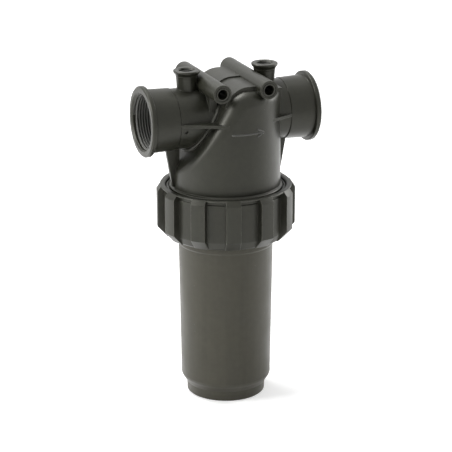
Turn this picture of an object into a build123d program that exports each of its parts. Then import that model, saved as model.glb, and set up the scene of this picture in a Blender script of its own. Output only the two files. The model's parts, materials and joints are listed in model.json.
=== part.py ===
from build123d import *
from math import cos, hypot, radians, sin, sqrt, tan
import os

os.makedirs("parts", exist_ok=True)

# Frame: millimetres, +Z up, origin at the middle of the foot.
# The ports lie along X, inlet at -X and outlet at +X. The tube bosses lie along Y.

# Clearances
seat_gap = 0.2
bore_gap = 0.4
edge_bevel = 0.5
seal_gap = 0.1
skirt_gap = 0.3
nest_gap = 0.15

# How far a cut starts outside the solid, and how near a point counts as on an edge
overcut = 1.0
pick_margin = 0.1

# Bowl
foot_step = 4.6
foot_h = 8.6
foot_edge = 1.0
foot_draft = 0.5
foot_wall = 4.2
foot_recess = 5.0
bowl_corner_r = 5.0
bowl_corner_h = 6.4
bowl_bevel = 2.0
bowl_draft = 1.9
bowl_wall = 3.8
bowl_floor_t = 4.5
shoulder_z = 150.8
bead_w = 1.0
bead_drop = 14.6
flange_gap = 0.7
flange_t = 8.0
flange_bevel = 0.6
rim_h = 6.5
rim_bevel = 1.0
rim_step = 1.6
bead_bevel = 0.8

# Ring nut
lug_count = 12
lug_depth = 5.6
lug_w = 12.6
lug_top_bevel_h = 4.4
lug_top_bevel_w = 3.2
lug_foot_bevel_h = 8.8
lug_foot_bevel_w = 8.2
ring_wall = 2.2
ring_foot_draft = 2.6
ring_foot_h = 7.0
ring_foot_bevel = 1.2
ring_rim_w = 2.4
ring_rim_t = 1.3
ring_groove_depth = 0.8
ring_groove_h = 3.3
ring_h = 44.8
ring_ledge_t = 7.0
ring_mouth_bevel = 1.0
lug_start_deg = 15.0

# Joint between head and ring nut
thread_depth = 1.6
skirt_step_w = 2.9
skirt_h = 27.4
skirt_step_h = 3.0
skirt_bevel = 0.8
skirt_lip_w = 1.7
skirt_groove_w = 1.2
skirt_groove_depth = 1.8
skirt_bead_h = 0.8

# Head drum
drum_foot_r = 46.8
drum_draft = 0.8
drum_wall = 4.2
drum_fillet = 12.0
port_rise = 62.5
drum_rise = 27.6
slope_deg = 60.5
slope_x = -21.4
slope_round = 20.0

# Crown between the tube bosses
crown_half_w = 35.0
crown_rise = 30.6
crown_step = 1.5
crown_start_x = -14.0
crown_back_rise = 1.1
crown_back_start_x = -9.0
seam_lip_w = 2.9
seam_lip_h = 2.6
seam_lip_bevel = 1.1

# Ports
port_face_x = 76.0
port_flange_r = 30.0
port_flange_t = 4.5
port_flange_bevel = 1.1
collar_r = 27.0
collar_start_r = 26.3
collar_len = 26.5
neck_r = 25.6
passage_r = 20.0
pipe_thread_r = 24.0
pipe_thread_len = 22.0
pipe_mouth_bevel = 1.3

# Fins and ribs of the head
fin_t = 2.4
fin_grip = 1.0
fin_tip_x = 14.0
rib_t = 3.2
rib_foot_w = 2.0
rib_top_len = 5.0
rib_foot_lift = 3.5

dimple_r = 1.8
dimple_depth = 1.4
dimple_x = -44.9
dimple_deg = -12.4

# Tube bosses
boss_x = 20.7
boss_rise = 29.0
boss_half_len = 45.4
boss_r = 7.9
bolt_hole_r = 4.25
boss_groove_in_r = 5.3
boss_groove_out_r = 6.2
boss_groove_depth = 0.8
boss_web_w = 6.6
boss_web_half_len = 24.0

# Gauge ports
gauge_x = 35.2
gauge_rise = 41.2
gauge_lip_r = 11.3
gauge_lip_t = 1.6
gauge_cone_h = 2.8
gauge_top_r = 9.4
gauge_step_h = 1.6
gauge_neck_r = 9.1
gauge_foot_r = 8.1
gauge_thread_r = 6.65
gauge_thread_len = 11.0
gauge_drill_r = 5.0
gauge_mouth_bevel = 0.7
gauge_root_lift = 2.0

# Inside of the head
spigot_space = 3.0
spigot_wall = 2.8
spigot_reach = 3.2
spigot_engage = 13.5
shoulder_ring_w = 3.0
shoulder_ring_t = 4.0

# Cartridge
collar_gap = 1.1
collar_wall = 2.2
end_h = 13.0
end_slot_depth = 6.0
cage_t = 2.4
mesh_t = 0.4
cage_columns = 8
cage_rows = 6
cage_bar_w = 4.0
cage_ring_h = 3.0
gasket_t = 2.6
gasket_proud = 0.6
gasket_w = 3.6
locating_ring_h = 9.0

# Seal between bowl and head
seal_section_r = 2.2

# Radii worked out from the values above, outwards and inwards from the drum
drum_top_r = drum_foot_r - drum_draft
cavity_r = drum_foot_r - drum_wall
cavity_top_r = drum_top_r - drum_wall
thread_root_r = drum_foot_r + skirt_step_w
thread_top_r = thread_root_r + thread_depth
skirt_groove_out_r = thread_top_r - skirt_lip_w
skirt_groove_in_r = skirt_groove_out_r - skirt_groove_w
reach = drum_foot_r + drum_wall
ring_bore_r = thread_top_r + skirt_gap
ring_recess_r = ring_bore_r + ring_wall
ring_groove_r = ring_recess_r - ring_groove_depth
ring_rim_r = ring_recess_r + ring_rim_w
ring_foot_r = ring_recess_r - ring_foot_draft
lug_r = ring_recess_r + lug_depth
flange_r = ring_bore_r - flange_gap
rim_r = cavity_r - bore_gap
bowl_top_r = rim_r - rim_step
bowl_bottom_r = bowl_top_r - bowl_draft
bead_r = bowl_top_r + bead_w
foot_r = bowl_bottom_r - foot_step
ring_mouth_r = bead_r + bore_gap
bowl_top_in_r = bowl_top_r - bowl_wall
bowl_bottom_in_r = bowl_bottom_r - bowl_wall
end_r = bowl_bottom_in_r - bowl_corner_r - collar_gap
mesh_in_r = end_r - collar_wall
cage_out_r = mesh_in_r - seat_gap
cage_in_r = cage_out_r - cage_t
spigot_r = cage_in_r - spigot_space
spigot_bore_r = spigot_r - spigot_wall
shoulder_ring_r = spigot_r + shoulder_ring_w
gasket_r = spigot_r + gasket_w

# Heights and places along the ports worked out from the values above
flange_top_z = shoulder_z + flange_t
bead_z = shoulder_z - bead_drop
skirt_z = flange_top_z + skirt_gap
skirt_top_z = skirt_z + skirt_h
port_z = skirt_top_z + port_rise
drum_top_z = port_z + drum_rise
crown_top_z = port_z + crown_rise
boss_z = port_z + boss_rise
gauge_top_z = port_z + gauge_rise
ring_z = shoulder_z - seat_gap - ring_ledge_t
ring_top_z = ring_z + ring_h
floor_z = foot_recess + bowl_floor_t
cavity_top_z = drum_top_z - drum_wall
cartridge_z = floor_z + seat_gap
spigot_z = skirt_top_z + spigot_reach
shoulder_ring_z = spigot_z + spigot_engage
cartridge_top_z = shoulder_ring_z - seat_gap
collar_x = port_face_x - collar_len
flange_x = port_face_x - port_flange_t
gauge_lip_z = gauge_top_z - gauge_lip_t
gauge_cone_z = gauge_lip_z - gauge_cone_h
gauge_step_z = gauge_cone_z - gauge_step_h
thread_end_x = port_face_x - pipe_thread_len
gauge_root_z = port_z + passage_r + gauge_root_lift
gauge_thread_z = gauge_top_z - gauge_thread_len
rib_foot_z = skirt_top_z + rib_foot_lift
rim_top_z = flange_top_z + rim_h
corner_z = foot_h + bowl_corner_h
ring_groove_z = ring_top_z - ring_rim_t - ring_groove_h
slope = tan(radians(slope_deg))
port_axis = Axis((0, 0, port_z), (1, 0, 0))


def slope_region(rise, top_z, foot_z):
    """Area below a level top that rounds over and falls to the left at the slope's angle."""
    shift = rise / sin(radians(slope_deg))
    corner_x = slope_x - shift + (top_z - port_z) / slope
    setback = slope_round * tan(radians(slope_deg) / 2)
    high = (corner_x + setback, top_z)
    low = (corner_x - setback * cos(radians(slope_deg)), top_z - setback * sin(radians(slope_deg)))
    middle_x = high[0] - slope_round * sin(radians(slope_deg) / 2)
    middle_z = top_z - slope_round * (1 - cos(radians(slope_deg) / 2))
    foot = (corner_x - (top_z - foot_z) / slope, foot_z)
    with BuildSketch(Plane.XZ) as region:
        with BuildLine():
            ThreePointArc(high, (middle_x, middle_z), low)
            Polyline(low, foot, (reach, foot_z), (reach, top_z), high)
        make_face()
    return region.sketch


# Drum: a slightly tapered cylinder, cut on the inlet side by the slope
with BuildPart() as drum:
    with BuildSketch(Plane.XZ):
        with BuildLine():
            Polyline(
                (0, skirt_top_z),
                (drum_foot_r, skirt_top_z),
                (drum_top_r, drum_top_z),
                (0, drum_top_z),
                close=True,
            )
        make_face()
    revolve(axis=Axis.Z)
    extrude(slope_region(0, drum_top_z, skirt_top_z), amount=reach, both=True, mode=Mode.INTERSECT)
    rim_edges = drum.edges().filter_by(GeomType.LINE, reverse=True)
    rim_edges = rim_edges.filter_by(lambda e: e.center().Z > skirt_top_z + pick_margin)
    rim_edges = rim_edges.filter_by(lambda e: hypot((e @ 0.5).X, (e @ 0.5).Y) > drum_top_r - pick_margin)
    fillet(rim_edges, drum_fillet)

# Crown: the raised band between the tube bosses, with the same slope and a slightly higher back half
with BuildPart() as crown:
    with BuildSketch(Plane.XY.offset(port_z)):
        with Locations(((boss_x + crown_start_x) / 2, 0)):
            Rectangle(boss_x - crown_start_x, 2 * crown_half_w)
    extrude(amount=crown_rise)
    extrude(slope_region(crown_step, crown_top_z, skirt_top_z), amount=reach, both=True, mode=Mode.INTERSECT)

with BuildPart() as crown_back:
    with BuildSketch(Plane.XY.offset(port_z)):
        with Locations(((boss_x + crown_back_start_x) / 2, crown_half_w / 2)):
            Rectangle(boss_x - crown_back_start_x, crown_half_w)
    extrude(amount=crown_rise + crown_back_rise)
    back_region = slope_region(crown_step + crown_back_rise, crown_top_z + crown_back_rise, skirt_top_z)
    extrude(back_region, amount=reach, both=True, mode=Mode.INTERSECT)

# Low lip round the inlet neck where it leaves the slope
with BuildPart() as neck_lip:
    with BuildSketch(Plane.YZ.offset(-collar_x)):
        with Locations((0, port_z)):
            Circle(neck_r + seam_lip_w)
    extrude(amount=collar_x)
    extrude(slope_region(seam_lip_h, drum_top_z, skirt_top_z), amount=reach, both=True, mode=Mode.INTERSECT)
    chamfer(neck_lip.edges().filter_by(GeomType.ELLIPSE), seam_lip_bevel)

# Outside of the head, still solid: skirt, drum, ports, bosses and ribs
with BuildPart() as outer:
    add(drum.part)
    add(crown.part)
    add(crown_back.part)
    add(neck_lip.part)

    # Skirt that the ring nut screws on, with the step that shows in the ring nut's mouth
    with BuildSketch(Plane.XZ):
        with BuildLine():
            Polyline(
                (0, skirt_z),
                (thread_root_r, skirt_z),
                (thread_root_r, skirt_top_z - skirt_step_h),
                (thread_top_r, skirt_top_z - skirt_step_h),
                (thread_top_r, skirt_top_z - skirt_bevel),
                (thread_top_r - skirt_bevel, skirt_top_z),
                (skirt_groove_out_r, skirt_top_z),
                (skirt_groove_out_r, skirt_top_z - skirt_groove_depth),
                (skirt_groove_in_r, skirt_top_z - skirt_groove_depth),
                (skirt_groove_in_r, skirt_top_z + skirt_bead_h),
                (skirt_groove_in_r - edge_bevel, skirt_top_z + skirt_bead_h + edge_bevel),
                (drum_foot_r, skirt_top_z + 2 * skirt_bead_h + edge_bevel),
                (0, skirt_top_z + 2 * skirt_bead_h + edge_bevel),
                close=True,
            )
        make_face()
    revolve(axis=Axis.Z)

    # Necks, collars and flanges of the two ports
    with BuildSketch(Plane.YZ):
        with Locations((0, port_z)):
            Circle(neck_r)
    extrude(amount=flange_x, both=True)
    for side in (-1, 1):
        with BuildSketch(Plane.XZ):
            with BuildLine():
                Polyline(
                    (side * collar_x, port_z),
                    (side * collar_x, port_z + collar_start_r - edge_bevel),
                    (side * (collar_x + edge_bevel), port_z + collar_start_r),
                    (side * (flange_x - edge_bevel), port_z + collar_r),
                    (side * flange_x, port_z + port_flange_r - edge_bevel),
                    (side * (flange_x + edge_bevel), port_z + port_flange_r),
                    (side * (port_face_x - port_flange_bevel), port_z + port_flange_r),
                    (side * port_face_x, port_z + port_flange_r - port_flange_bevel),
                    (side * port_face_x, port_z),
                    close=True,
                )
            make_face()
        revolve(axis=port_axis)

    # Tube bosses, and the web that carries the inlet side one above the slope
    for side in (-1, 1):
        with BuildSketch(Plane.XZ):
            with Locations((side * boss_x, boss_z)):
                Circle(boss_r)
        extrude(amount=boss_half_len, both=True)
    with BuildSketch(Plane.XY.offset(port_z)):
        with Locations((-boss_x, 0)):
            Rectangle(boss_web_w, 2 * boss_web_half_len)
    extrude(amount=boss_rise)

    # Level fins between the collars and the drum, whose edges run into its wall
    fin_start_x = collar_x + fin_grip
    fin_y = collar_start_r - edge_bevel
    fin_tip_y = sqrt(drum_top_r**2 - fin_tip_x**2)
    for side in (-1, 1):
        with BuildSketch(Plane.XY.offset(port_z - fin_t / 2)):
            with BuildLine():
                Polyline(
                    (side * fin_start_x, -fin_y),
                    (side * fin_tip_x, -fin_tip_y),
                    (side * fin_tip_x, fin_tip_y),
                    (side * fin_start_x, fin_y),
                    close=True,
                )
            make_face()
        extrude(amount=fin_t)

    # Upright gusset ribs under the ports
    for side in (-1, 1):
        with BuildSketch(Plane.XZ.offset(-rib_t / 2)):
            with BuildLine():
                Polyline(
                    (side * cavity_r, port_z - passage_r),
                    (side * (collar_x + rib_top_len), port_z - passage_r),
                    (side * (collar_x + rib_top_len), port_z - collar_r),
                    (side * (drum_foot_r + rib_foot_w), rib_foot_z),
                    (side * cavity_r, rib_foot_z),
                    close=True,
                )
            make_face()
        extrude(amount=rib_t)

    # Gauge ports: a tapered neck under a small step and a coned lip
    for side in (-1, 1):
        with BuildSketch(Plane.XZ):
            with BuildLine():
                Polyline(
                    (side * gauge_x, gauge_root_z),
                    (side * (gauge_x + gauge_foot_r), gauge_root_z),
                    (side * (gauge_x + gauge_neck_r), gauge_step_z),
                    (side * (gauge_x + gauge_top_r), gauge_step_z + edge_bevel),
                    (side * (gauge_x + gauge_top_r), gauge_cone_z),
                    (side * (gauge_x + gauge_lip_r), gauge_lip_z),
                    (side * (gauge_x + gauge_lip_r), gauge_top_z - edge_bevel),
                    (side * (gauge_x + gauge_lip_r - edge_bevel), gauge_top_z),
                    (side * gauge_x, gauge_top_z),
                    close=True,
                )
            make_face()
        revolve(axis=Axis((side * gauge_x, 0, 0), (0, 0, 1)))

# Hollow of the head: the cavity under the slope's inner face, and the inlet passage
with BuildPart() as hollow:
    with BuildSketch(Plane.XZ):
        with BuildLine():
            Polyline(
                (0, skirt_z - overcut),
                (cavity_r, skirt_z - overcut),
                (cavity_r, skirt_top_z),
                (cavity_top_r, cavity_top_z),
                (0, cavity_top_z),
                close=True,
            )
        make_face()
    revolve(axis=Axis.Z)
    hollow_region = slope_region(-drum_wall, cavity_top_z, skirt_z - overcut)
    extrude(hollow_region, amount=reach, both=True, mode=Mode.INTERSECT)
    with BuildSketch(Plane.YZ.offset(-thread_end_x - overcut)):
        with Locations((0, port_z)):
            Circle(passage_r)
    extrude(amount=thread_end_x + overcut - spigot_bore_r)

# Core of the head: spigot, shoulder and tube, with the bridge over the outlet passage
with BuildPart() as core:
    with BuildSketch(Plane.XY.offset(spigot_z)):
        Circle(spigot_r)
    extrude(amount=cavity_top_z - spigot_z)
    with BuildSketch(Plane.XY.offset(shoulder_ring_z)):
        Circle(shoulder_ring_r)
    extrude(amount=shoulder_ring_t)
    with BuildSketch(Plane.YZ):
        with Locations((0, port_z)):
            Circle(spigot_r)
        with Locations((0, (port_z + cavity_top_z) / 2)):
            Rectangle(2 * spigot_r, cavity_top_z - port_z)
    extrude(amount=cavity_r)

# Head: the outside, hollowed, with the core and all its bores
with BuildPart() as head:
    add(outer.part)
    add(hollow.part, mode=Mode.SUBTRACT)
    add(core.part)

    # Outlet way: up the spigot, round the bend and out along X
    with BuildSketch(Plane.XY.offset(spigot_z)):
        Circle(spigot_bore_r)
    extrude(amount=port_z - spigot_z, mode=Mode.SUBTRACT)
    with BuildSketch(Plane.YZ):
        with Locations((0, port_z)):
            Circle(spigot_bore_r)
    extrude(amount=thread_end_x + overcut, mode=Mode.SUBTRACT)
    with Locations((0, 0, port_z)):
        Sphere(spigot_bore_r, mode=Mode.SUBTRACT)

    # Threaded ends of the ports, with a bevel at each mouth
    for side in (-1, 1):
        with BuildSketch(Plane.XZ):
            with BuildLine():
                Polyline(
                    (side * thread_end_x, port_z),
                    (side * thread_end_x, port_z + pipe_thread_r),
                    (side * (port_face_x - pipe_mouth_bevel), port_z + pipe_thread_r),
                    (side * port_face_x, port_z + pipe_thread_r + pipe_mouth_bevel),
                    (side * port_face_x, port_z),
                    close=True,
                )
            make_face()
        revolve(axis=port_axis, mode=Mode.SUBTRACT)

    # Gauge port holes
    for side in (-1, 1):
        with BuildSketch(Plane.XZ):
            with BuildLine():
                Polyline(
                    (side * gauge_x, port_z),
                    (side * (gauge_x + gauge_drill_r), port_z),
                    (side * (gauge_x + gauge_drill_r), gauge_thread_z),
                    (side * (gauge_x + gauge_thread_r), gauge_thread_z),
                    (side * (gauge_x + gauge_thread_r), gauge_top_z - gauge_mouth_bevel),
                    (side * (gauge_x + gauge_thread_r + gauge_mouth_bevel), gauge_top_z),
                    (side * gauge_x, gauge_top_z),
                    close=True,
                )
            make_face()
        revolve(axis=Axis((side * gauge_x, 0, 0), (0, 0, 1)), mode=Mode.SUBTRACT)

    # Bolt holes through the tube bosses, with a shallow groove round each end
    for side in (-1, 1):
        with BuildSketch(Plane.XZ):
            with Locations((side * boss_x, boss_z)):
                Circle(bolt_hole_r)
        extrude(amount=boss_half_len, both=True, mode=Mode.SUBTRACT)
        for end in (-1, 1):
            with BuildSketch(Plane.XZ.offset(end * boss_half_len)):
                with Locations((side * boss_x, boss_z)):
                    Circle(boss_groove_out_r)
                    Circle(boss_groove_in_r, mode=Mode.SUBTRACT)
            extrude(amount=-end * boss_groove_depth, mode=Mode.SUBTRACT)

    # Small round dimple on the front of the inlet neck
    dimple_y = -neck_r * cos(radians(dimple_deg))
    dimple_z = port_z + neck_r * sin(radians(dimple_deg))
    dimple_out = (0, dimple_y, dimple_z - port_z)
    with BuildSketch(Plane(origin=(dimple_x, dimple_y, dimple_z), z_dir=dimple_out)):
        Circle(dimple_r)
    extrude(amount=-dimple_depth, mode=Mode.SUBTRACT)

    # Seat of the bowl seal at the foot of the skirt
    with BuildSketch(Plane.XY.offset(skirt_z)):
        Circle(rim_r + 2 * seal_section_r + 2 * bore_gap)
    extrude(amount=2 * seal_section_r + seal_gap - skirt_gap, mode=Mode.SUBTRACT)
head.part.label = "head"
export_step(head.part, "parts/head.step")

# Ring nut: a revolved shell with a rim at its mouth, and straight lugs with bevelled ends
with BuildPart() as ring_nut:
    with BuildSketch(Plane.XZ):
        with BuildLine():
            Polyline(
                (0, ring_z),
                (ring_foot_r - ring_foot_bevel, ring_z),
                (ring_foot_r, ring_z + ring_foot_bevel),
                (ring_recess_r, ring_z + ring_foot_h),
                (ring_recess_r, ring_groove_z - edge_bevel),
                (ring_groove_r, ring_groove_z),
                (ring_groove_r, ring_top_z - ring_rim_t),
                (ring_rim_r, ring_top_z - ring_rim_t),
                (ring_rim_r, ring_top_z - edge_bevel),
                (ring_rim_r - edge_bevel, ring_top_z),
                (0, ring_top_z),
                close=True,
            )
        make_face()
    revolve(axis=Axis.Z)
    with BuildSketch(Plane.XY.offset(ring_z)):
        with PolarLocations(lug_r, lug_count, start_angle=lug_start_deg):
            Rectangle(2 * lug_r, lug_w)
    extrude(amount=ring_h)
    with BuildSketch(Plane.XZ):
        with BuildLine():
            Polyline(
                (0, ring_z),
                (lug_r - lug_foot_bevel_w, ring_z),
                (lug_r, ring_z + lug_foot_bevel_h),
                (lug_r, ring_top_z - lug_top_bevel_h),
                (lug_r - lug_top_bevel_w, ring_top_z),
                (0, ring_top_z),
                close=True,
            )
        make_face()
    revolve(axis=Axis.Z, mode=Mode.INTERSECT)
    with BuildSketch(Plane.XZ):
        with BuildLine():
            Polyline(
                (0, ring_z - overcut),
                (ring_mouth_r + ring_mouth_bevel, ring_z - overcut),
                (ring_mouth_r + ring_mouth_bevel, ring_z),
                (ring_mouth_r, ring_z + ring_mouth_bevel),
                (ring_mouth_r, ring_z + ring_ledge_t),
                (ring_bore_r, ring_z + ring_ledge_t),
                (ring_bore_r, ring_top_z - ring_mouth_bevel),
                (ring_bore_r + ring_mouth_bevel, ring_top_z),
                (ring_bore_r + ring_mouth_bevel, ring_top_z + overcut),
                (0, ring_top_z + overcut),
                close=True,
            )
        make_face()
    revolve(axis=Axis.Z, mode=Mode.SUBTRACT)
ring_nut.part.label = "ring_nut"
export_step(ring_nut.part, "parts/ring_nut.step")

# Bowl: revolved outside and inside, a ring foot, a bead, a flange and a locating ring on its floor
with BuildPart() as bowl:
    with BuildSketch(Plane.XZ):
        with BuildLine():
            foot_line = Polyline(
                (0, 0),
                (foot_r - foot_draft - foot_edge, 0),
                (foot_r - foot_draft, foot_edge),
                (foot_r, foot_h),
                (bowl_bottom_r - bowl_bevel, corner_z - bowl_bevel),
            )
            corner_arc = ThreePointArc(
                foot_line @ 1,
                (bowl_bottom_r - bowl_bevel / 3, corner_z),
                (bowl_bottom_r, corner_z + bowl_bevel),
            )
            Polyline(
                corner_arc @ 1,
                (bowl_top_r, bead_z - bead_bevel),
                (bead_r, bead_z + bead_bevel),
                (bead_r, shoulder_z),
                (flange_r - flange_bevel, shoulder_z),
                (flange_r, shoulder_z + flange_bevel),
                (flange_r, flange_top_z - flange_bevel),
                (flange_r - flange_bevel, flange_top_z),
                (rim_r, flange_top_z),
                (rim_r, rim_top_z - rim_bevel),
                (rim_r - rim_bevel, rim_top_z),
                (0, rim_top_z),
                (0, 0),
            )
        make_face()
    revolve(axis=Axis.Z)
    with BuildSketch(Plane.XZ):
        with BuildLine():
            Polyline(
                (0, floor_z),
                (bowl_bottom_in_r - bowl_corner_r, floor_z),
                (bowl_bottom_in_r, floor_z + bowl_corner_r),
                (bowl_top_in_r, rim_top_z - rim_bevel),
                (bowl_top_in_r + rim_bevel, rim_top_z),
                (0, rim_top_z),
                close=True,
            )
        make_face()
    revolve(axis=Axis.Z, mode=Mode.SUBTRACT)
    with BuildSketch(Plane.XY):
        Circle(foot_r - foot_wall)
    extrude(amount=foot_recess, mode=Mode.SUBTRACT)
    with BuildSketch(Plane.XY.offset(floor_z - overcut)):
        Circle(spigot_r)
        Circle(spigot_bore_r, mode=Mode.SUBTRACT)
    extrude(amount=locating_ring_h + overcut)
bowl.part.label = "bowl"
export_step(bowl.part, "parts/bowl.step")

# Seal ring on the flange, round the bowl's rim
with BuildPart() as bowl_seal:
    with BuildSketch(Plane.XZ):
        with Locations((rim_r + seal_section_r + bore_gap, flange_top_z + seal_section_r)):
            Circle(seal_section_r)
    revolve(axis=Axis.Z)
bowl_seal.part.label = "bowl_seal"
export_step(bowl_seal.part, "parts/bowl_seal.step")


def end_collar_outline(seat_z, away):
    """Half section of an end collar: the gasket seat at seat_z, the slot for the cage on the far side."""
    inner_r = spigot_r + bore_gap
    seat_depth = gasket_t - gasket_proud
    slot_z = seat_z + away * (end_h - end_slot_depth)
    far_z = seat_z + away * end_h
    return [
        (gasket_r + nest_gap, seat_z),
        (end_r, seat_z),
        (end_r, far_z),
        (mesh_in_r + mesh_t + nest_gap, far_z),
        (mesh_in_r + mesh_t + nest_gap, slot_z),
        (cage_in_r - nest_gap, slot_z),
        (cage_in_r - nest_gap, far_z),
        (inner_r, far_z),
        (inner_r, seat_z + away * seat_depth),
        (gasket_r + nest_gap, seat_z + away * seat_depth),
    ]


lower_end_z = cartridge_z + gasket_proud
upper_end_z = cartridge_top_z - gasket_proud
cage_z = lower_end_z + end_h - end_slot_depth + nest_gap
cage_len = upper_end_z - end_h + end_slot_depth - nest_gap - cage_z

# End collars of the cartridge
with BuildPart() as cartridge_lower_collar:
    with BuildSketch(Plane.XZ):
        with BuildLine():
            Polyline(*end_collar_outline(lower_end_z, 1), close=True)
        make_face()
    revolve(axis=Axis.Z)
cartridge_lower_collar.part.label = "cartridge_lower_collar"
export_step(cartridge_lower_collar.part, "parts/cartridge_lower_collar.step")

with BuildPart() as cartridge_upper_collar:
    with BuildSketch(Plane.XZ):
        with BuildLine():
            Polyline(*end_collar_outline(upper_end_z, -1), close=True)
        make_face()
    revolve(axis=Axis.Z)
cartridge_upper_collar.part.label = "cartridge_upper_collar"
export_step(cartridge_upper_collar.part, "parts/cartridge_upper_collar.step")

# Cage: a tube with rows of windows, which holds the mesh in shape
with BuildPart() as cartridge_cage:
    with BuildSketch(Plane.XY.offset(cage_z)):
        Circle(cage_out_r)
        Circle(cage_in_r, mode=Mode.SUBTRACT)
    extrude(amount=cage_len)
    window_zone = cage_len - 2 * end_slot_depth
    window_h = (window_zone - (cage_rows + 1) * cage_ring_h) / cage_rows
    window_w = 2 * cage_out_r * sin(radians(180 / cage_columns)) - cage_bar_w
    for row in range(cage_rows):
        window_z = cage_z + end_slot_depth + cage_ring_h + row * (window_h + cage_ring_h)
        with BuildSketch(Plane.XY.offset(window_z)):
            with PolarLocations(cage_out_r, cage_columns):
                Rectangle(3 * (cage_out_r - cage_in_r), window_w)
        extrude(amount=window_h, mode=Mode.SUBTRACT)
cartridge_cage.part.label = "cartridge_cage"
export_step(cartridge_cage.part, "parts/cartridge_cage.step")

# Mesh sleeve round the cage
with BuildPart() as cartridge_mesh:
    with BuildSketch(Plane.XY.offset(cage_z)):
        Circle(mesh_in_r + mesh_t)
        Circle(mesh_in_r, mode=Mode.SUBTRACT)
    extrude(amount=cage_len)
cartridge_mesh.part.label = "cartridge_mesh"
export_step(cartridge_mesh.part, "parts/cartridge_mesh.step")

# Flat gaskets in the outer faces of the end collars
with BuildPart() as cartridge_lower_gasket:
    with BuildSketch(Plane.XY.offset(cartridge_z)):
        Circle(gasket_r)
        Circle(spigot_r + bore_gap, mode=Mode.SUBTRACT)
    extrude(amount=gasket_t - nest_gap)
cartridge_lower_gasket.part.label = "cartridge_lower_gasket"
export_step(cartridge_lower_gasket.part, "parts/cartridge_lower_gasket.step")

with BuildPart() as cartridge_upper_gasket:
    with BuildSketch(Plane.XY.offset(cartridge_top_z)):
        Circle(gasket_r)
        Circle(spigot_r + bore_gap, mode=Mode.SUBTRACT)
    extrude(amount=-(gasket_t - nest_gap))
cartridge_upper_gasket.part.label = "cartridge_upper_gasket"
export_step(cartridge_upper_gasket.part, "parts/cartridge_upper_gasket.step")
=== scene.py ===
"""Looks of an inline filter: moulded plastics, screw threads, the flow arrow, stage and camera."""

import json
import math

import bmesh
import bpy
import numpy as np
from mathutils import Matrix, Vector


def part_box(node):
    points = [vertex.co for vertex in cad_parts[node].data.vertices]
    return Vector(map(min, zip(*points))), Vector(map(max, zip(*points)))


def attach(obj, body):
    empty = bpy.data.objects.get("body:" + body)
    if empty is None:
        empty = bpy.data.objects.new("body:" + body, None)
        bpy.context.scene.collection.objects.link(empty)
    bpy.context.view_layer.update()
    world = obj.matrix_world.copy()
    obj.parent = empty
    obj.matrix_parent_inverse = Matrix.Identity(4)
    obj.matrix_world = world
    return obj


bl_info = {
    "name": "Inline Filter",
    "version": (1, 0, 0),
    "blender": (4, 5, 0),
    "location": "View3D > Sidebar > Inline Filter",
    "description": "Dresses the packed inline filter with its threads, mould marks and plastics",
    "category": "Object",
}

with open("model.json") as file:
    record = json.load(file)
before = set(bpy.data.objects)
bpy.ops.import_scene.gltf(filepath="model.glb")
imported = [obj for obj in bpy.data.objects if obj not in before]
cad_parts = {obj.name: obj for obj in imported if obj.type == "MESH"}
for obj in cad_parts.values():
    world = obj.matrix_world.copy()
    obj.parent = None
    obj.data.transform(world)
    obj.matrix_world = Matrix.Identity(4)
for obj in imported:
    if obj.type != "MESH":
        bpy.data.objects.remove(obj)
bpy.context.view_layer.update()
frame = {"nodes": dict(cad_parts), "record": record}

MM = 0.001
FLOAT, COLOUR, VECTOR = "NodeSocketFloat", "NodeSocketColor", "NodeSocketVector"


# Places read from the frame

MOUNTS = {mount["name"]: mount for mount in frame["record"]["mounts"]}
PORT_Z = MOUNTS["inlet_port"]["pos_m"][2]
SKIRT_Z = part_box("head")[0].z
RING_LOW_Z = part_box("ring_nut")[0].z
RING_HIGH_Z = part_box("ring_nut")[1].z


# Settings that a user would change


def colour_setting(name, description, default):
    return bpy.props.FloatVectorProperty(
        name=name, description=description, default=default, size=3, subtype="COLOR", min=0, max=1
    )


def length_setting(name, description, default):
    return bpy.props.FloatProperty(
        name=name, description=description, default=default, min=0, max=10, precision=5, unit="LENGTH"
    )


class PlasticSettings(bpy.types.PropertyGroup):
    """Colours and skin of the mouldings, and of the pieces inside."""

    head_colour: colour_setting("Head", "Colour of the head's plastic", (0.016, 0.0163, 0.0115))
    ring_colour: colour_setting("Ring nut", "Colour of the ring nut's plastic", (0.018, 0.0182, 0.0135))
    bowl_colour: colour_setting("Bowl", "Colour of the bowl's plastic", (0.038, 0.0355, 0.0255))
    inner_colour: colour_setting("Cartridge", "Colour of the cartridge's plastic", (0.52, 0.50, 0.44))
    rubber_colour: colour_setting("Rubber", "Colour of the seal and the gaskets", (0.012, 0.012, 0.013))
    wire_colour: colour_setting("Mesh wire", "Colour of the woven wire", (0.60, 0.58, 0.55))
    grain_size: length_setting("Grain size", "Width of one grain of the moulded skin", 0.0008)
    edge_radius: length_setting("Edge radius", "Radius to which moulded edges are softened", 0.0005)
    wire_pitch: length_setting("Wire pitch", "From one wire of the mesh to the next", 0.0009)


class ThreadSettings(bpy.types.PropertyGroup):
    """Sizes of the screw threads."""

    port_pitch: length_setting("Port pitch", "Pitch of the threads in the ports", 0.002309)
    port_depth: length_setting("Port depth", "Height of the port threads", 0.00148)
    gauge_pitch: length_setting("Gauge port pitch", "Pitch of the threads in the gauge ports", 0.001337)
    gauge_depth: length_setting("Gauge port depth", "Height of the gauge port threads", 0.00086)
    ring_pitch: length_setting("Ring pitch", "Pitch of the thread between head and ring nut", 0.006)
    ring_depth: length_setting("Ring depth", "Height of the thread between head and ring nut", 0.0014)
    ring_width: length_setting("Ring width", "Width of that thread at its root", 0.0034)


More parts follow.
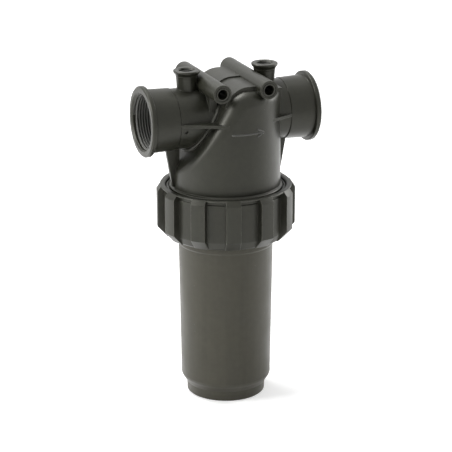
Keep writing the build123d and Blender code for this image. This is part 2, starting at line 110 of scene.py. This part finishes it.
class ArrowSettings(bpy.types.PropertyGroup):
    """Flow arrow moulded on the front of the drum."""

    drop: length_setting("Drop", "How far the arrow lies below the ports' axis", 0.0070)
    tail: length_setting("Tail", "From the middle of the drum back to the tail, along the wall", 0.0125)
    tip: length_setting("Tip", "From the middle of the drum to the tip, along the wall", 0.0177)
    barb_length: length_setting("Barb length", "How far the barbs reach back from the tip", 0.0072)
    barb_height: length_setting("Barb height", "How far the barbs stand off the shaft", 0.0032)
    width: length_setting("Width", "Width of the raised lines", 0.0016)
    relief: length_setting("Relief", "Height of the raised lines", 0.0007)


class StageSettings(bpy.types.PropertyGroup):
    """Camera and light."""

    distance: length_setting("Camera distance", "From the camera to the point it looks at", 1.8404)
    azimuth: bpy.props.FloatProperty(
        name="Azimuth", description="How far the camera stands left of the front",
        default=math.radians(21.67), subtype="ANGLE", unit="ROTATION",
    )
    elevation: bpy.props.FloatProperty(
        name="Elevation", description="How far the camera stands above the horizon",
        default=math.radians(18.02), subtype="ANGLE", unit="ROTATION",
    )
    aim_height: length_setting("Aim height", "Height of the point that the camera looks at", 0.14886)
    lens: bpy.props.FloatProperty(
        name="Lens", description="Focal length for a 36 mm wide sensor", default=170.44, min=10, max=500
    )
    sky: bpy.props.FloatProperty(
        name="Sky light", description="Strength of the even light from all round", default=0.3, min=0, max=3
    )
    top_power: bpy.props.FloatProperty(
        name="Top light", description="Power of the lamp above and behind", default=22.0, min=0, max=500, unit="POWER"
    )
    left_power: bpy.props.FloatProperty(
        name="Left light", description="Power of the lamp on the left", default=24.0, min=0, max=500, unit="POWER"
    )
    right_power: bpy.props.FloatProperty(
        name="Right light", description="Power of the lamp on the right", default=20.0, min=0, max=500, unit="POWER"
    )
    sun: bpy.props.FloatProperty(
        name="Floor light", description="Strength of the even overhead light", default=0.7, min=0, max=10
    )


# Meshes


def ridge_section(count, flank):
    """Section of a ridge, as places across from -1 to 1 and heights from 0 to 1. Each flank rises along
    a quarter sine over its share of the half width, and the crest between them is level."""
    across = np.linspace(-1, 1, count)
    return across, np.sin(np.clip((1 - np.abs(across)) / flank, 0, 1) * math.pi / 2)


def grid_piece(name, points, material):
    """Piece made of a grid of points, u by v. The grid is closed along v, and a cap closes each end."""
    rows, columns, _ = points.shape
    a, b = np.meshgrid(np.arange(rows - 1), np.arange(columns), indexing="ij")
    after = (b + 1) % columns
    quads = np.stack(
        [a * columns + b, (a + 1) * columns + b, (a + 1) * columns + after, a * columns + after], axis=-1
    )
    caps = [list(range(columns)), list(range((rows - 1) * columns, rows * columns))]
    mesh = bpy.data.meshes.new(name)
    mesh.from_pydata(points.reshape(-1, 3), [], quads.reshape(-1, 4).tolist() + caps)
    mesh.polygons.foreach_set("use_smooth", [True] * len(mesh.polygons))
    turned = bmesh.new()
    turned.from_mesh(mesh)
    bmesh.ops.recalc_face_normals(turned, faces=turned.faces)
    turned.to_mesh(mesh)
    turned.free()
    mesh.materials.append(material)
    piece = bpy.data.objects.new(name, mesh)
    bpy.context.scene.collection.objects.link(piece)
    return piece


def screw_ridge(name, start, axis, wall_r, depth, pitch, width, length, flank, material, steps=96):
    """Right-hand screw ridge on a round wall. Its section is carried round the axis and climbs one pitch
    a turn. Its height grows over the first half turn and fades over the last. It stands inwards from
    the wall, or outwards where depth is negative, and its root is sunk a little into the wall."""
    root_sink = 0.15 * MM
    turns = (length - width) / pitch
    turn = np.linspace(0, turns, int(steps * turns) + 1)
    fade = np.sin(np.clip(np.minimum(turn, turns - turn) / 0.5, 0, 1) * math.pi / 2)
    across, height = ridge_section(11, flank)
    across = np.concatenate([across, [1, -1]])
    rise = fade[:, None] * depth * np.concatenate([height, [0, 0]])
    rise[:, -2:] = -root_sink * np.sign(depth)
    radius = (wall_r - rise)[..., None]
    along = (width / 2 + turn[:, None] * pitch + across * width / 2)[..., None]
    axis = np.array(axis, float)
    side = np.array((0, 1, 0), float) if abs(axis[1]) < 0.5 else np.array((1, 0, 0), float)
    angle = (2 * math.pi * turn)[:, None, None]
    points = np.array(start, float) + along * axis
    points = points + radius * (np.cos(angle) * side + np.sin(angle) * np.cross(axis, side))
    return grid_piece(name, points, material)


def wall_radius(node, height, azimuth, outwards=False):
    """Distance from the upright axis to a node's wall at a height, by a ray cast level across it."""
    out = Vector((math.sin(azimuth), -math.cos(azimuth), 0))
    start = Vector((0, 0, height)) if outwards else Vector((0, 0, height)) + out
    hit, place, _, _ = frame["nodes"][node].ray_cast(start, out if outwards else -out)
    if not hit:
        raise RuntimeError(f"No wall of {node} at height {height}")
    return math.hypot(place.x, place.y)


def raised_line(name, ends, width, relief, material):
    """Raised line on the drum's wall: a round ridge between two points of the unrolled wall, given as
    distance along the wall and height, wound back onto the wall's taper."""
    low_z, high_z = PORT_Z - 0.04, PORT_Z - 0.005
    low_r, high_r = (wall_radius("head", z, 0) for z in (low_z, high_z))
    start, stop = np.array(ends, float)
    t = np.linspace(0, 1, 25)
    path = start + t[:, None] * (stop - start)
    ahead = (stop - start) / np.linalg.norm(stop - start)
    beside = np.array([-ahead[1], ahead[0]])
    reach = np.linalg.norm(stop - start) * np.minimum(t, 1 - t) / (width / 2)
    taper = np.sin(np.clip(reach, 0, 1) * math.pi / 2)[:, None]
    across, height = ridge_section(9, 0.8)
    across = np.concatenate([across, [1, -1]])
    rise = relief * taper * np.concatenate([height, [0, 0]])
    rise[:, -2:] = -0.2 * relief
    flat = path[:, None] + (0.3 + 0.7 * taper[..., None]) * across[:, None] * (width / 2) * beside
    radius = low_r + (high_r - low_r) * (flat[..., 1] - low_z) / (high_z - low_z)
    angle = flat[..., 0] / radius
    points = np.stack([(radius + rise) * np.sin(angle), -(radius + rise) * np.cos(angle), flat[..., 1]], axis=-1)
    return grid_piece(name, points, material)


# Node groups


def add(tree, kind, inputs=None, **settings):
    """Adds a shader node. A socket that is given another node's output is linked to it, and any other
    value is written into the socket."""
    made = tree.nodes.new("ShaderNode" + kind)
    for name, value in settings.items():
        setattr(made, name, value)
    for key, value in (inputs or {}).items():
        if isinstance(value, bpy.types.NodeSocket):
            tree.links.new(value, made.inputs[key])
        else:
            made.inputs[key].default_value = value
    return made


def calc(tree, operation, a, b=0.0):
    """Result of one Math node."""
    return add(tree, "Math", {0: a, 1: b}, operation=operation).outputs[0]


def spread(tree, value, low, high, to_low=0.0, to_high=1.0):
    """Result of a Map Range node, smoothed between its ends."""
    limits = {"Value": value, "From Min": low, "From Max": high, "To Min": to_low, "To Max": to_high}
    return add(tree, "MapRange", limits, interpolation_type="SMOOTHSTEP").outputs[0]


def new_group(name, inputs, outputs):
    """Empty node group with the given sockets. Returns it with its input node's sockets and its output node."""
    group = bpy.data.node_groups.new(name, "ShaderNodeTree")
    for label, kind, value in inputs:
        group.interface.new_socket(name=label, in_out="INPUT", socket_type=kind).default_value = value
    for label, kind in outputs:
        group.interface.new_socket(name=label, in_out="OUTPUT", socket_type=kind)
    return group, group.nodes.new("NodeGroupInput").outputs, group.nodes.new("NodeGroupOutput").inputs


def moulded_skin_group():
    """Moulded skin. Broad and middling clouds of noise, and upright streaks, shade the colour. A few small
    pale specks lie on it. The clouds change the roughness, and fine grain makes the height."""
    group, given, result = new_group(
        "moulded_skin",
        [
            ("Colour", COLOUR, (0.03, 0.03, 0.03, 1)), ("Roughness", FLOAT, 0.45), ("Grain", FLOAT, 1200.0),
            ("Mottle", FLOAT, 0.2), ("Streaks", FLOAT, 0.0), ("Specks", FLOAT, 0.1),
        ],
        [("Colour", COLOUR), ("Roughness", FLOAT), ("Height", FLOAT)],
    )
    place = add(group, "TexCoord").outputs["Object"]
    broad = add(group, "TexNoise", {"Vector": place, "Scale": 34.0, "Detail": 4.0}).outputs["Fac"]
    middle = add(group, "TexNoise", {"Vector": place, "Scale": 210.0, "Detail": 5.0}).outputs["Fac"]
    fine = add(group, "TexNoise", {"Vector": place, "Scale": given["Grain"], "Detail": 2.0}).outputs["Fac"]
    upright = add(group, "Mapping", {"Vector": place, "Scale": (1.0, 1.0, 0.03)}).outputs[0]
    bands = add(group, "TexNoise", {"Vector": upright, "Scale": 150.0, "Detail": 3.0}).outputs["Fac"]
    cloud = calc(group, "ADD", spread(group, broad, 0.3, 0.7, -0.6, 0.6), spread(group, middle, 0.3, 0.7, -0.4, 0.4))
    cloud = calc(group, "MULTIPLY", cloud, given["Mottle"])
    band = calc(group, "MULTIPLY", spread(group, bands, 0.3, 0.7, -1.0, 1.0), given["Streaks"])
    shade = calc(group, "ADD", calc(group, "ADD", cloud, band), 1.0)
    shaded = add(group, "VectorMath", {0: given["Colour"], "Scale": shade}, operation="SCALE").outputs[0]
    cells = add(group, "TexVoronoi", {"Vector": place, "Scale": 170.0})
    chosen = add(group, "SeparateColor", {0: cells.outputs["Color"]}).outputs[0]
    spot = calc(group, "MULTIPLY", spread(group, cells.outputs["Distance"], 0.07, 0.03), calc(group, "GREATER_THAN", chosen, 0.8))
    speck = calc(group, "MULTIPLY", spot, given["Specks"])
    pale = (0.42, 0.41, 0.37, 1)
    mixed = add(group, "Mix", {"Factor": speck, 6: shaded, 7: pale}, data_type="RGBA").outputs[2]
    group.links.new(mixed, result["Colour"])
    group.links.new(
        calc(group, "MULTIPLY", given["Roughness"], spread(group, broad, 0.3, 0.7, 0.86, 1.14)), result["Roughness"]
    )
    group.links.new(calc(group, "ADD", calc(group, "MULTIPLY", fine, 0.5), middle), result["Height"])
    return group


def worn_edges_group():
    """Rubbed edges with a painted highlight. The mask is where rays cast inwards soon leave the solid, as they do
    behind an outer edge, broken up by noise; the material paints it paler, partly as rubbing and partly as a painted
    edge highlight. The normal is that of the surface with its edges rounded."""
    group, given, result = new_group(
        "worn_edges",
        [("Radius", FLOAT, 0.0005), ("Wear", FLOAT, 0.5)],
        [("Mask", FLOAT), ("Normal", VECTOR)],
    )
    place = add(group, "TexCoord").outputs["Object"]
    reach = calc(group, "MULTIPLY", given["Radius"], 2.0)
    inside = add(group, "AmbientOcclusion", {"Distance": reach}, inside=True, samples=8).outputs["AO"]
    patches = add(group, "TexNoise", {"Vector": place, "Scale": 190.0, "Detail": 4.0}).outputs["Fac"]
    # Paler edge mask: rubbing together with a painted highlight along outer edges.
    edge = calc(group, "MULTIPLY", spread(group, inside, 0.85, 0.45), spread(group, patches, 0.3, 0.6, 0.25, 1.0))
    group.links.new(calc(group, "MULTIPLY", edge, given["Wear"]), result["Mask"])
    rounded = add(group, "Bevel", {"Radius": given["Radius"]}, samples=8).outputs[0]
    group.links.new(rounded, result["Normal"])
    return group


def group_node(tree, build, inputs):
    """Places a shared node group, which is built the first time it is asked for."""
    name = build.__name__.removesuffix("_group")
    node = add(tree, "Group", node_tree=bpy.data.node_groups.get(name) or build())
    for key, value in inputs.items():
        node.inputs[key].default_value = value
    return node.outputs


# Materials


def new_material(name):
    """Empty material. Returns it with its node tree and its shader's sockets."""
    material = bpy.data.materials.new(name)
    material.use_nodes = True
    return material, material.node_tree, material.node_tree.nodes["Principled BSDF"].inputs


def moulded_plastic(name, colour, rubbed_highlit_edge_colour, skin, wear_and_highlight=0.5, bump=0.1, specular=0.4):
    """Moulded plastic: the shared skin, painted paler along outer edges partly as rubbing and partly as a painted
    highlight, with a faint grain on softened edges.
    """
    settings = bpy.context.scene.filter_plastic
    material, tree, shader = new_material(name)
    values = {"Colour": (*colour, 1), "Grain": 1 / settings.grain_size, **skin}
    surface = group_node(tree, moulded_skin_group, values)
    edges = group_node(tree, worn_edges_group, {"Radius": settings.edge_radius, "Wear": wear_and_highlight})
    # Outer edges take the paler edge colour: rubbing together with a painted highlight.
    rubbed_and_highlit_edges = {"Factor": edges["Mask"], 6: surface["Colour"], 7: (*rubbed_highlit_edge_colour, 1)}
    tree.links.new(add(tree, "Mix", rubbed_and_highlit_edges, data_type="RGBA").outputs[2], shader["Base Color"])
    tree.links.new(surface["Roughness"], shader["Roughness"])
    relief = {"Height": surface["Height"], "Normal": edges["Normal"], "Strength": bump, "Distance": 0.3 * MM}
    tree.links.new(add(tree, "Bump", relief).outputs[0], shader["Normal"])
    shader["Specular IOR Level"].default_value = specular
    shader["Specular Tint"].default_value = (1.0, 0.99, 0.9, 1)
    return material


def woven_wire(name, colour, pitch, radius):
    """Woven wire: wires lie along and round the sleeve. Each wire's height is a squared sine across it,
    raised or lowered where it passes over or under the next, and the gaps between are painted dark as shade."""
    material, tree, shader = new_material(name)
    place = add(tree, "SeparateXYZ", {0: add(tree, "TexCoord").outputs["Object"]}).outputs
    round_it = calc(tree, "MULTIPLY", calc(tree, "ARCTAN2", place["Y"], place["X"]), radius * math.pi / pitch)
    up_it = calc(tree, "MULTIPLY", place["Z"], math.pi / pitch)
    u, v = calc(tree, "SINE", round_it), calc(tree, "SINE", up_it)
    over = calc(tree, "MULTIPLY", calc(tree, "MULTIPLY", u, v), 0.5)
    along = calc(tree, "MULTIPLY", calc(tree, "MULTIPLY", u, u), calc(tree, "ADD", over, 0.5))
    around = calc(tree, "MULTIPLY", calc(tree, "MULTIPLY", v, v), calc(tree, "SUBTRACT", 0.5, over))
    height = calc(tree, "MAXIMUM", along, around)
    wire = spread(tree, height, 0.12, 0.3)
    # Painted shade in the openings between the wires.
    gap_shade = (0.03, 0.03, 0.03, 1)
    tree.links.new(
        add(tree, "Mix", {"Factor": wire, 6: gap_shade, 7: (*colour, 1)}, data_type="RGBA").outputs[2], shader["Base Color"]
    )
    tree.links.new(wire, shader["Metallic"])
    tree.links.new(spread(tree, wire, 0, 1, 0.8, 0.32), shader["Roughness"])
    relief = add(tree, "Bump", {"Height": height, "Strength": 0.8, "Distance": 0.3 * MM})
    tree.links.new(relief.outputs[0], shader["Normal"])
    return material


def dress(node, material):
    """Gives a CAD node its material."""
    mesh = frame["nodes"][node].data
    if not mesh.materials:
        mesh.materials.append(material)
    for slot in range(len(mesh.materials)):
        mesh.materials[slot] = material


# Operators


class FILTER_OT_head(bpy.types.Operator):
    """Give the head its black moulded plastic"""

    bl_idname = "filter.head"
    bl_label = "Head"

    def execute(self, context):
        settings = context.scene.filter_plastic
        skin = {"Roughness": 0.36, "Mottle": 0.22, "Specks": 0.12}
        # Paler edge colour: rubbing with a painted highlight along outer edges.
        edge = (0.075, 0.076, 0.066)
        dress("head", moulded_plastic("head_plastic", settings.head_colour, edge, skin, wear_and_highlight=0.7, bump=0.16))
        return {"FINISHED"}


class FILTER_OT_ring_nut(bpy.types.Operator):
    """Give the ring nut its plastic, with lug edges painted paler as rubbing and as a painted highlight"""

    bl_idname = "filter.ring_nut"
    bl_label = "Ring nut"

    def execute(self, context):
        settings = context.scene.filter_plastic
        skin = {"Roughness": 0.38, "Mottle": 0.2, "Streaks": 0.1, "Specks": 0.3}
        # Paler edge colour for the lugs: rubbing with a painted highlight.
        edge = (0.13, 0.13, 0.112)
        dress("ring_nut", moulded_plastic("ring_plastic", settings.ring_colour, edge, skin, wear_and_highlight=0.85, bump=0.14))
        return {"FINISHED"}


class FILTER_OT_bowl(bpy.types.Operator):
    """Give the bowl its duller plastic, with faint upright streaks"""

    bl_idname = "filter.bowl"
    bl_label = "Bowl"

    def execute(self, context):
        settings = context.scene.filter_plastic
        skin = {"Roughness": 0.42, "Mottle": 0.12, "Streaks": 0.07, "Specks": 0.14}
        # Paler edge colour: rubbing with a painted highlight along outer edges.
        edge = (0.12, 0.118, 0.1)
        dress("bowl", moulded_plastic("bowl_plastic", settings.bowl_colour, edge, skin, wear_and_highlight=0.7, bump=0.1))
        return {"FINISHED"}


class FILTER_OT_cartridge(bpy.types.Operator):
    """Give the cartridge, its mesh, the gaskets and the bowl seal their materials"""

    bl_idname = "filter.cartridge"
    bl_label = "Cartridge and seals"

    def execute(self, context):
        settings = context.scene.filter_plastic
        # Paler edge colour for the cartridge: rubbing with a painted highlight along outer edges.
        pale_edge = (0.66, 0.64, 0.58)
        skin = {"Roughness": 0.45, "Mottle": 0.08, "Specks": 0.0}
        inner = moulded_plastic("cartridge_plastic", settings.inner_colour, pale_edge, skin, wear_and_highlight=0.4)
        for node in ("cartridge_lower_collar", "cartridge_upper_collar", "cartridge_cage"):
            dress(node, inner)
        # Paler edge colour for the rubber: rubbing with a painted highlight along outer edges.
        dull_edge = (0.03, 0.03, 0.03)
        skin = {"Roughness": 0.62, "Mottle": 0.25, "Specks": 0.04}
        rubber = moulded_plastic("seal_rubber", settings.rubber_colour, dull_edge, skin, wear_and_highlight=0.4, bump=0.2)
        for node in ("bowl_seal", "cartridge_lower_gasket", "cartridge_upper_gasket"):
            dress(node, rubber)
        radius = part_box("cartridge_mesh")[1].x
        dress("cartridge_mesh", woven_wire("mesh_wire", settings.wire_colour, settings.wire_pitch, radius))
        return {"FINISHED"}


class FILTER_OT_threads(bpy.types.Operator):
    """Raise the screw threads in the ports, on the head's skirt and in the ring nut"""

    bl_idname = "filter.threads"
    bl_label = "Threads"

    def execute(self, context):
        settings = context.scene.filter_thread
        for mount in ("inlet_port", "outlet_port"):
            self.port_thread(mount, settings.port_pitch, settings.port_depth)
        for mount in ("inlet_gauge_port", "outlet_gauge_port"):
            self.port_thread(mount, settings.gauge_pitch, settings.gauge_depth)
        self.ring_threads(settings)
        return {"FINISHED"}

    def port_thread(self, name, pitch, depth):
        mount = MOUNTS[name]
        inwards = -np.array(mount["axis"], float)
        wall = mount["dims"]["r_mm"] * MM
        length = mount["dims"]["length_mm"] * MM
        material = bpy.data.materials["head_plastic"]
        width = 0.94 * pitch
        piece = screw_ridge(name + "_thread", mount["pos_m"], inwards, wall, depth, pitch, width, length, 0.85, material)
        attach(piece, "head")

    def ring_threads(self, settings):
        """The two ridges share their pitch and hand, and the ring nut's lies half a pitch from the head's."""
        up = (0, 0, 1)
        pitch, depth, width = settings.ring_pitch, settings.ring_depth, settings.ring_width
        lead = 1.0 * MM
        flank = 0.6
        start = SKIRT_Z + lead
        skirt_r = wall_radius("head", start + pitch, 0)
        piece = screw_ridge(
            "skirt_thread", (0, 0, start), up, skirt_r, -depth, pitch, width, 3.7 * pitch, flank,
            bpy.data.materials["head_plastic"],
        )
        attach(piece, "head")
        start = start + pitch / 2
        bore_r = wall_radius("ring_nut", start, 0, outwards=True)
        piece = screw_ridge(
            "ring_thread", (0, 0, start), up, bore_r, depth, pitch, width, 3.6 * pitch, flank,
            bpy.data.materials["ring_plastic"],
        )
        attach(piece, "ring")


class FILTER_OT_flow_arrow(bpy.types.Operator):
    """Raise the flow arrow on the front of the drum"""

    bl_idname = "filter.flow_arrow"
    bl_label = "Flow arrow"

    def execute(self, context):
        settings = context.scene.filter_arrow
        z = PORT_Z - settings.drop
        tip = (settings.tip, z)
        back = settings.tip - settings.barb_length
        lines = {
            "arrow_shaft": [(-settings.tail, z), (settings.tip - settings.width, z)],
            "arrow_upper_barb": [tip, (back, z + settings.barb_height)],
            "arrow_lower_barb": [tip, (back, z - settings.barb_height)],
        }
        material = bpy.data.materials["head_plastic"]
        for name, ends in lines.items():
            piece = raised_line(name, ends, settings.width, settings.relief, material)
            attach(piece, "head")
        return {"FINISHED"}


class FILTER_OT_stage(bpy.types.Operator):
    """Set up the floor, the lamps, the world and the camera"""

    bl_idname = "filter.stage"
    bl_label = "Stage"

    def execute(self, context):
        settings = context.scene.filter_stage
        self.floor()
        self.world(context.scene, settings)
        self.lamps(settings)
        self.camera(context.scene, settings)
        context.scene.view_settings.view_transform = "Standard"
        return {"FINISHED"}

    def seen(self, tree):
        """1 for rays that show the background: from the camera, from gloss and through glass."""
        path = add(tree, "LightPath").outputs
        direct = calc(tree, "MAXIMUM", path["Is Camera Ray"], path["Is Glossy Ray"])
        return calc(tree, "MAXIMUM", direct, path["Is Transmission Ray"])

    def floor(self):
        half = 8.0
        corners = [(-half, -half, 0), (half, -half, 0), (half, half, 0), (-half, half, 0)]
        mesh = bpy.data.meshes.new("floor")
        mesh.from_pydata(corners, [], [(0, 1, 2, 3)])
        floor = bpy.data.objects.new("floor", mesh)
        bpy.context.scene.collection.objects.link(floor)
        material, tree, shader = new_material("floor")
        shader["Base Color"].default_value = (0.9, 0.9, 0.9, 1)
        shader["Roughness"].default_value = 0.9
        shader["Specular IOR Level"].default_value = 0.0
        shader["Emission Color"].default_value = (1, 1, 1, 1)
        lift = 0.4
        tree.links.new(calc(tree, "MULTIPLY", self.seen(tree), lift), shader["Emission Strength"])
        mesh.materials.append(material)

    def world(self, scene, settings):
        world = bpy.data.worlds.new("studio")
        world.use_nodes = True
        tree = world.node_tree
        sky = tree.nodes["Background"].inputs
        sky["Color"].default_value = (1, 1, 1, 1)
        strength = add(tree, "MapRange", {"Value": self.seen(tree), "To Min": settings.sky, "To Max": 1.0})
        tree.links.new(strength.outputs[0], sky["Strength"])
        scene.world = world

    def lamps(self, settings):
        self.lamp("top", (-0.4, 0.7, 1.7), settings.top_power, 0.9, 0.9)
        self.lamp("left", (-1.7, 0.1, 0.95), settings.left_power, 0.7, 1.3)
        self.lamp("right", (1.7, 0.2, 0.7), settings.right_power, 0.7, 1.3)
        sun = bpy.data.lights.new("overhead", "SUN")
        sun.energy = settings.sun
        sun.angle = math.radians(50)
        lamp = bpy.data.objects.new("overhead", sun)
        lamp.rotation_euler = (math.radians(-14), math.radians(-8), 0)
        bpy.context.scene.collection.objects.link(lamp)

    def lamp(self, name, place, power, width, height):
        light = bpy.data.lights.new(name, "AREA")
        light.energy = power
        light.shape = "RECTANGLE"
        light.size = width
        light.size_y = height
        lamp = bpy.data.objects.new(name, light)
        lamp.location = place
        aim = Vector((0, 0, 0.18)) - Vector(place)
        lamp.rotation_euler = aim.to_track_quat("-Z", "Y").to_euler()
        bpy.context.scene.collection.objects.link(lamp)

    def camera(self, scene, settings):
        lens = bpy.data.cameras.new("camera")
        lens.sensor_width = 36
        lens.lens = settings.lens
        lens.shift_x = 0.25 / 452
        lens.clip_start, lens.clip_end = 0.05, 50
        camera = bpy.data.objects.new("camera", lens)
        a, e = settings.azimuth, settings.elevation
        away = Vector((-math.sin(a) * math.cos(e), -math.cos(a) * math.cos(e), math.sin(e)))
        camera.location = Vector((0, 0, settings.aim_height)) + away * settings.distance
        camera.rotation_euler = (-away).to_track_quat("-Z", "Y").to_euler()
        bpy.context.scene.collection.objects.link(camera)
        scene.camera = camera


class FILTER_PT_panel(bpy.types.Panel):
    """Steps that dress the filter, in order, and their settings"""

    bl_label = "Inline Filter"
    bl_idname = "FILTER_PT_panel"
    bl_space_type = "VIEW_3D"
    bl_region_type = "UI"
    bl_category = "Inline Filter"

    def draw(self, context):
        for step in STEPS:
            self.layout.operator(step.bl_idname)
        for name, kind in SETTINGS.items():
            for setting in kind.__annotations__:
                self.layout.prop(getattr(context.scene, name), setting)


SETTINGS = {
    "filter_plastic": PlasticSettings,
    "filter_thread": ThreadSettings,
    "filter_arrow": ArrowSettings,
    "filter_stage": StageSettings,
}
STEPS = [
    FILTER_OT_head,
    FILTER_OT_ring_nut,
    FILTER_OT_bowl,
    FILTER_OT_cartridge,
    FILTER_OT_threads,
    FILTER_OT_flow_arrow,
    FILTER_OT_stage,
]
CLASSES = [*SETTINGS.values(), *STEPS, FILTER_PT_panel]


def register():
    for kind in CLASSES:
        bpy.utils.register_class(kind)
    for name, kind in SETTINGS.items():
        setattr(bpy.types.Scene, name, bpy.props.PointerProperty(type=kind))


def unregister():
    for name in SETTINGS:
        delattr(bpy.types.Scene, name)
    for kind in reversed(CLASSES):
        bpy.utils.unregister_class(kind)


def main():
    register()
    bpy.ops.filter.head()
    bpy.ops.filter.ring_nut()
    bpy.ops.filter.bowl()
    bpy.ops.filter.cartridge()
    bpy.ops.filter.threads()
    bpy.ops.filter.flow_arrow()
    bpy.ops.filter.stage()


if __name__ == "__main__":
    main()
